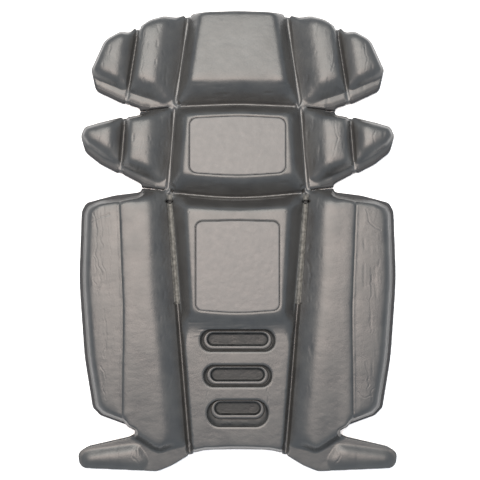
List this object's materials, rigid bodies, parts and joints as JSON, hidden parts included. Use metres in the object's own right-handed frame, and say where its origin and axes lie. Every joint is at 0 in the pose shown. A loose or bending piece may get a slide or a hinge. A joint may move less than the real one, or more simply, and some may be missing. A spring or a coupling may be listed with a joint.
{
  "type": "back protector",
  "caption": "Two-ply moulded foam back protector pad with raised spine blocks, winged lobes, side panels, vent slots and fold grooves.",
  "frame": {"origin": "centre of the pad's bounding box on the plane of its flat back face", "axes": "+Z out of the pad's front, +Y towards the pad's top edge along the spine, +X to the right seen from the front"},
  "size_m": [0.286, 0.4136, 0.021],
  "materials": {
    "front_ply_skin": "satin moulded closed-cell foam skin",
    "inlay_foam": "satin closed-cell foam, finely dimpled",
    "back_ply_foam": "matt closed-cell foam sheet",
    "raw_foam": "rough cut foam"
  },
  "bodies": {
    "main_center": {"main_block": "front_ply_skin", "main_inlay": "inlay_foam", "vent_plate": "front_ply_skin", "main_backing": "back_ply_foam", "lower_fold_web": "front_ply_skin", "left_slit_channel_web": "raw_foam", "left_low_channel_web": "front_ply_skin", "right_slit_channel_web": "raw_foam", "right_low_channel_web": "front_ply_skin"},
    "mid_center": {"mid_block": "front_ply_skin", "mid_block_backing": "back_ply_foam", "mid_inlay": "inlay_foam", "upper_fold_web": "front_ply_skin", "left_mid_channel_web": "front_ply_skin", "right_mid_channel_web": "front_ply_skin"},
    "top_center": {"top_block": "front_ply_skin", "top_block_backing": "back_ply_foam", "left_top_channel_web": "front_ply_skin", "right_top_channel_web": "front_ply_skin"},
    "left_side": {"left_side_outer_panel": "front_ply_skin", "left_side_ridge": "front_ply_skin", "left_side_tail": "front_ply_skin", "left_side_backing": "back_ply_foam"},
    "left_mid_inner": {"left_mid_inner_lobe": "front_ply_skin", "left_mid_inner_backing": "back_ply_foam", "left_mid_lobe_web": "front_ply_skin"},
    "left_mid_outer": {"left_mid_outer_lobe": "front_ply_skin", "left_mid_outer_backing": "back_ply_foam"},
    "left_top_inner": {"left_top_inner_lobe": "front_ply_skin", "left_top_inner_backing": "back_ply_foam", "left_top_lobe_web": "front_ply_skin"},
    "left_top_outer": {"left_top_outer_lobe": "front_ply_skin", "left_top_outer_backing": "back_ply_foam"},
    "right_side": {"right_side_outer_panel": "front_ply_skin", "right_side_ridge": "front_ply_skin", "right_side_tail": "front_ply_skin", "right_side_backing": "back_ply_foam"},
    "right_mid_inner": {"right_mid_inner_lobe": "front_ply_skin", "right_mid_inner_backing": "back_ply_foam", "right_mid_lobe_web": "front_ply_skin"},
    "right_mid_outer": {"right_mid_outer_lobe": "front_ply_skin", "right_mid_outer_backing": "back_ply_foam"},
    "right_top_inner": {"right_top_inner_lobe": "front_ply_skin", "right_top_inner_backing": "back_ply_foam", "right_top_lobe_web": "front_ply_skin"},
    "right_top_outer": {"right_top_outer_lobe": "front_ply_skin", "right_top_outer_backing": "back_ply_foam"}
  },
  "joints": [
    {"name": "lower_fold", "type": "hinge", "parent": "main_center", "child": "mid_center", "pos_m": [0, 0.042, 0.0022], "axis": [1, 0, 0], "range_deg": [-20, 20], "stiffness_Nm_per_rad": 0.2, "deforming": ["lower_fold_web"]},
    {"name": "upper_fold", "type": "hinge", "parent": "mid_center", "child": "top_center", "pos_m": [0, 0.122, 0.0022], "axis": [1, 0, 0], "range_deg": [-20, 20], "stiffness_Nm_per_rad": 0.2, "deforming": ["upper_fold_web"]},
    {"name": "left_side_channel", "type": "hinge", "parent": "main_center", "child": "left_side", "pos_m": [-0.0524, -0.074, 0.0022], "axis": [-0.0784, 0.9969, 0], "range_deg": [-25, 15], "stiffness_Nm_per_rad": 0.4, "deforming": ["left_slit_channel_web", "left_low_channel_web"]},
    {"name": "left_mid_channel", "type": "hinge", "parent": "mid_center", "child": "left_mid_inner", "pos_m": [-0.0596, 0.0823, 0.0022], "axis": [0.0769, 0.997, 0], "range_deg": [-25, 15], "stiffness_Nm_per_rad": 0.13, "deforming": ["left_mid_channel_web"]},
    {"name": "left_mid_lobe_groove", "type": "hinge", "parent": "left_mid_inner", "child": "left_mid_outer", "pos_m": [-0.1031, 0.0861, 0.0022], "axis": [0.0821, 0.9966, 0], "range_deg": [-20, 15], "stiffness_Nm_per_rad": 0.06, "deforming": ["left_mid_lobe_web"]},
    {"name": "left_top_channel", "type": "hinge", "parent": "top_center", "child": "left_top_inner", "pos_m": [-0.05015, 0.1629, 0.0022], "axis": [0.148, 0.989, 0], "range_deg": [-25, 15], "stiffness_Nm_per_rad": 0.14, "deforming": ["left_top_channel_web"]},
    {"name": "left_top_lobe_groove", "type": "hinge", "parent": "left_top_inner", "child": "left_top_outer", "pos_m": [-0.0942, 0.1584, 0.0022], "axis": [0.1548, 0.9879, 0], "range_deg": [-20, 15], "stiffness_Nm_per_rad": 0.08, "deforming": ["left_top_lobe_web"]},
    {"name": "right_side_channel", "type": "hinge", "parent": "main_center", "child": "right_side", "pos_m": [0.0524, -0.074, 0.0022], "axis": [-0.0784, -0.9969, 0], "range_deg": [-25, 15], "stiffness_Nm_per_rad": 0.4, "deforming": ["right_slit_channel_web", "right_low_channel_web"]},
    {"name": "right_mid_channel", "type": "hinge", "parent": "mid_center", "child": "right_mid_inner", "pos_m": [0.0596, 0.0823, 0.0022], "axis": [0.0769, -0.997, 0], "range_deg": [-25, 15], "stiffness_Nm_per_rad": 0.13, "deforming": ["right_mid_channel_web"]},
    {"name": "right_mid_lobe_groove", "type": "hinge", "parent": "right_mid_inner", "child": "right_mid_outer", "pos_m": [0.1031, 0.0861, 0.0022], "axis": [0.0821, -0.9966, 0], "range_deg": [-20, 15], "stiffness_Nm_per_rad": 0.06, "deforming": ["right_mid_lobe_web"]},
    {"name": "right_top_channel", "type": "hinge", "parent": "top_center", "child": "right_top_inner", "pos_m": [0.05015, 0.1629, 0.0022], "axis": [0.148, -0.989, 0], "range_deg": [-25, 15], "stiffness_Nm_per_rad": 0.14, "deforming": ["right_top_channel_web"]},
    {"name": "right_top_lobe_groove", "type": "hinge", "parent": "right_top_inner", "child": "right_top_outer", "pos_m": [0.0942, 0.1584, 0.0022], "axis": [0.1548, -0.9879, 0], "range_deg": [-20, 15], "stiffness_Nm_per_rad": 0.08, "deforming": ["right_top_lobe_web"]}
  ]
}
